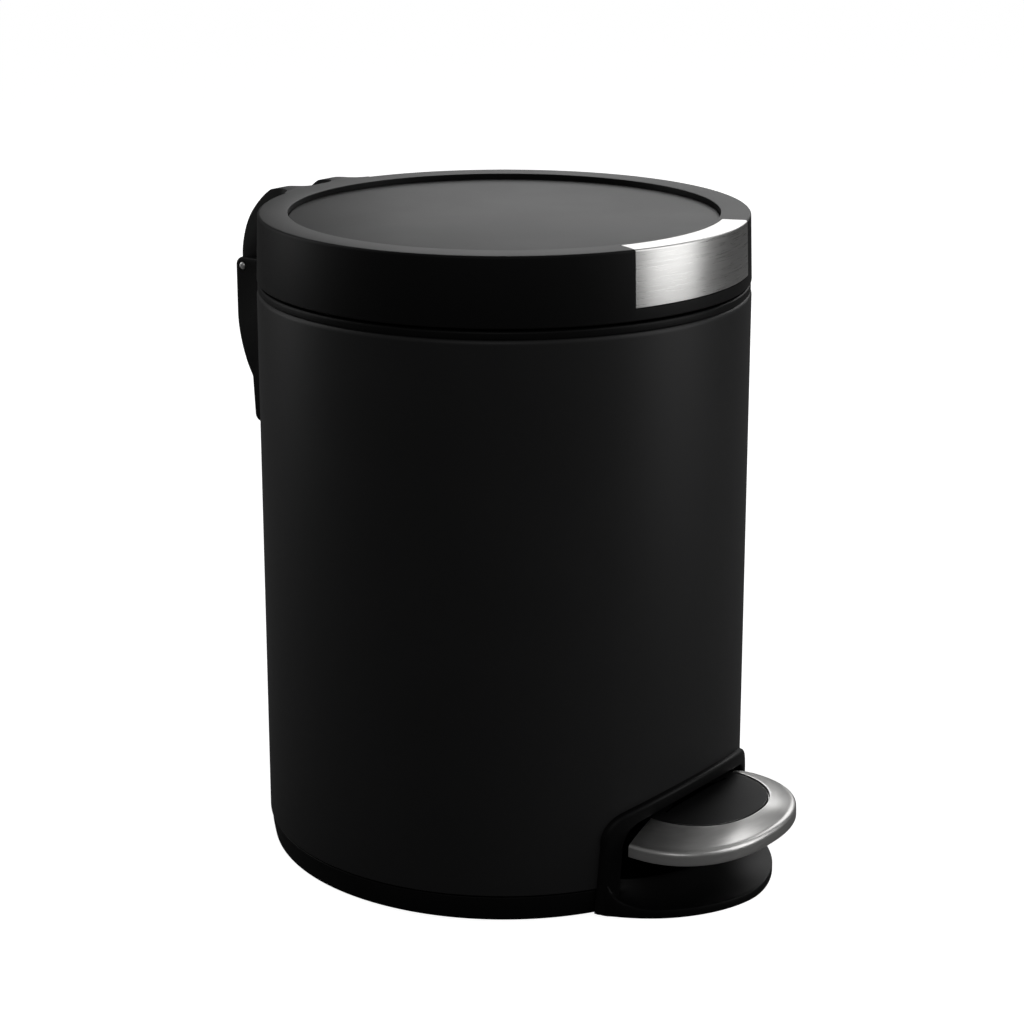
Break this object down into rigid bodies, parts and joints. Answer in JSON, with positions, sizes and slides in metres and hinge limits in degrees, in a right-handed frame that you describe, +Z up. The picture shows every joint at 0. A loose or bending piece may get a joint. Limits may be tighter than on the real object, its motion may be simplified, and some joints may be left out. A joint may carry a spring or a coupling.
{
  "type": "pedal trash can",
  "caption": "Round pedal bin with a steel body, a hinged lid raised by a push rod, a front pedal and a lift-out inner bucket.",
  "frame": {"origin": "on the floor at the axis of the round body", "axes": "+Z up along the body's axis, -Y towards the pedal at the front, +Y towards the lid hinge, +X to the right seen from the front"},
  "size_m": [0.205, 0.2688, 0.2716],
  "materials": {
    "black_paint": "satin black powder coat on sheet steel",
    "lid_panel_paint": "satin black coat",
    "lid_plastic": "fine-grained satin black",
    "black_plastic": "moulded black, fine texture",
    "bucket_plastic": "moulded dark grey, fine texture",
    "soft_rubber": "matt",
    "pedal_rubber": "smooth matt",
    "brushed_steel": "fine brushed",
    "bright_pin": "ground bright",
    "steel_wire": "plated wire",
    "zinc_sheet": "zinc plated",
    "zinc_screw": "zinc plated",
    "white_nylon": "natural nylon"
  },
  "bodies": {
    "bin": {"base": "black_plastic", "rubber_feet": "soft_rubber", "pedal_surround": "black_plastic", "surround_screws": "zinc_screw", "body_shell": "black_paint", "top_collar": "black_plastic", "inner_bucket": "bucket_plastic", "bucket_handle": "steel_wire", "hinge_bracket": "black_plastic", "bracket_screws": "zinc_screw", "hinge_pin": "bright_pin", "rod_guide": "zinc_sheet", "lever_axle": "bright_pin", "axle_clips": "zinc_sheet"},
    "lid": {"lid_shell": "lid_plastic", "lid_tab": "brushed_steel", "lid_panel": "lid_panel_paint", "lid_liner": "black_plastic", "liner_screws": "zinc_screw", "lid_bumpers": "soft_rubber", "lid_crank": "black_plastic", "crank_pin": "bright_pin"},
    "pedal": {"pedal_cover": "brushed_steel", "pedal_insert": "pedal_rubber", "pedal_tray": "black_plastic", "pedal_screws": "zinc_screw", "pedal_lever": "zinc_sheet"},
    "rod": {"push_rod": "steel_wire", "rod_foot": "white_nylon", "rod_head": "white_nylon"}
  },
  "joints": [
    {"name": "lid_hinge", "type": "hinge", "parent": "bin", "child": "lid", "pos_m": [0, 0.1274, 0.2357], "axis": [-1, 0, 0], "range_deg": [0, 80]},
    {"name": "pedal_hinge", "type": "hinge", "parent": "bin", "child": "pedal", "pos_m": [0, -0.017, 0.014], "axis": [1, 0, 0], "range_deg": [0, 8.3]},
    {"name": "rod_slide", "type": "slide", "parent": "bin", "child": "rod", "axis": [0, 0, 1], "range_m": [0, 0.0162]}
  ],
  "couplings": [
    {"joint": "pedal_hinge", "follows": "lid_hinge", "ratio": 0.10312},
    {"joint": "rod_slide", "follows": "lid_hinge", "m_per_rad": 0.011509}
  ]
}
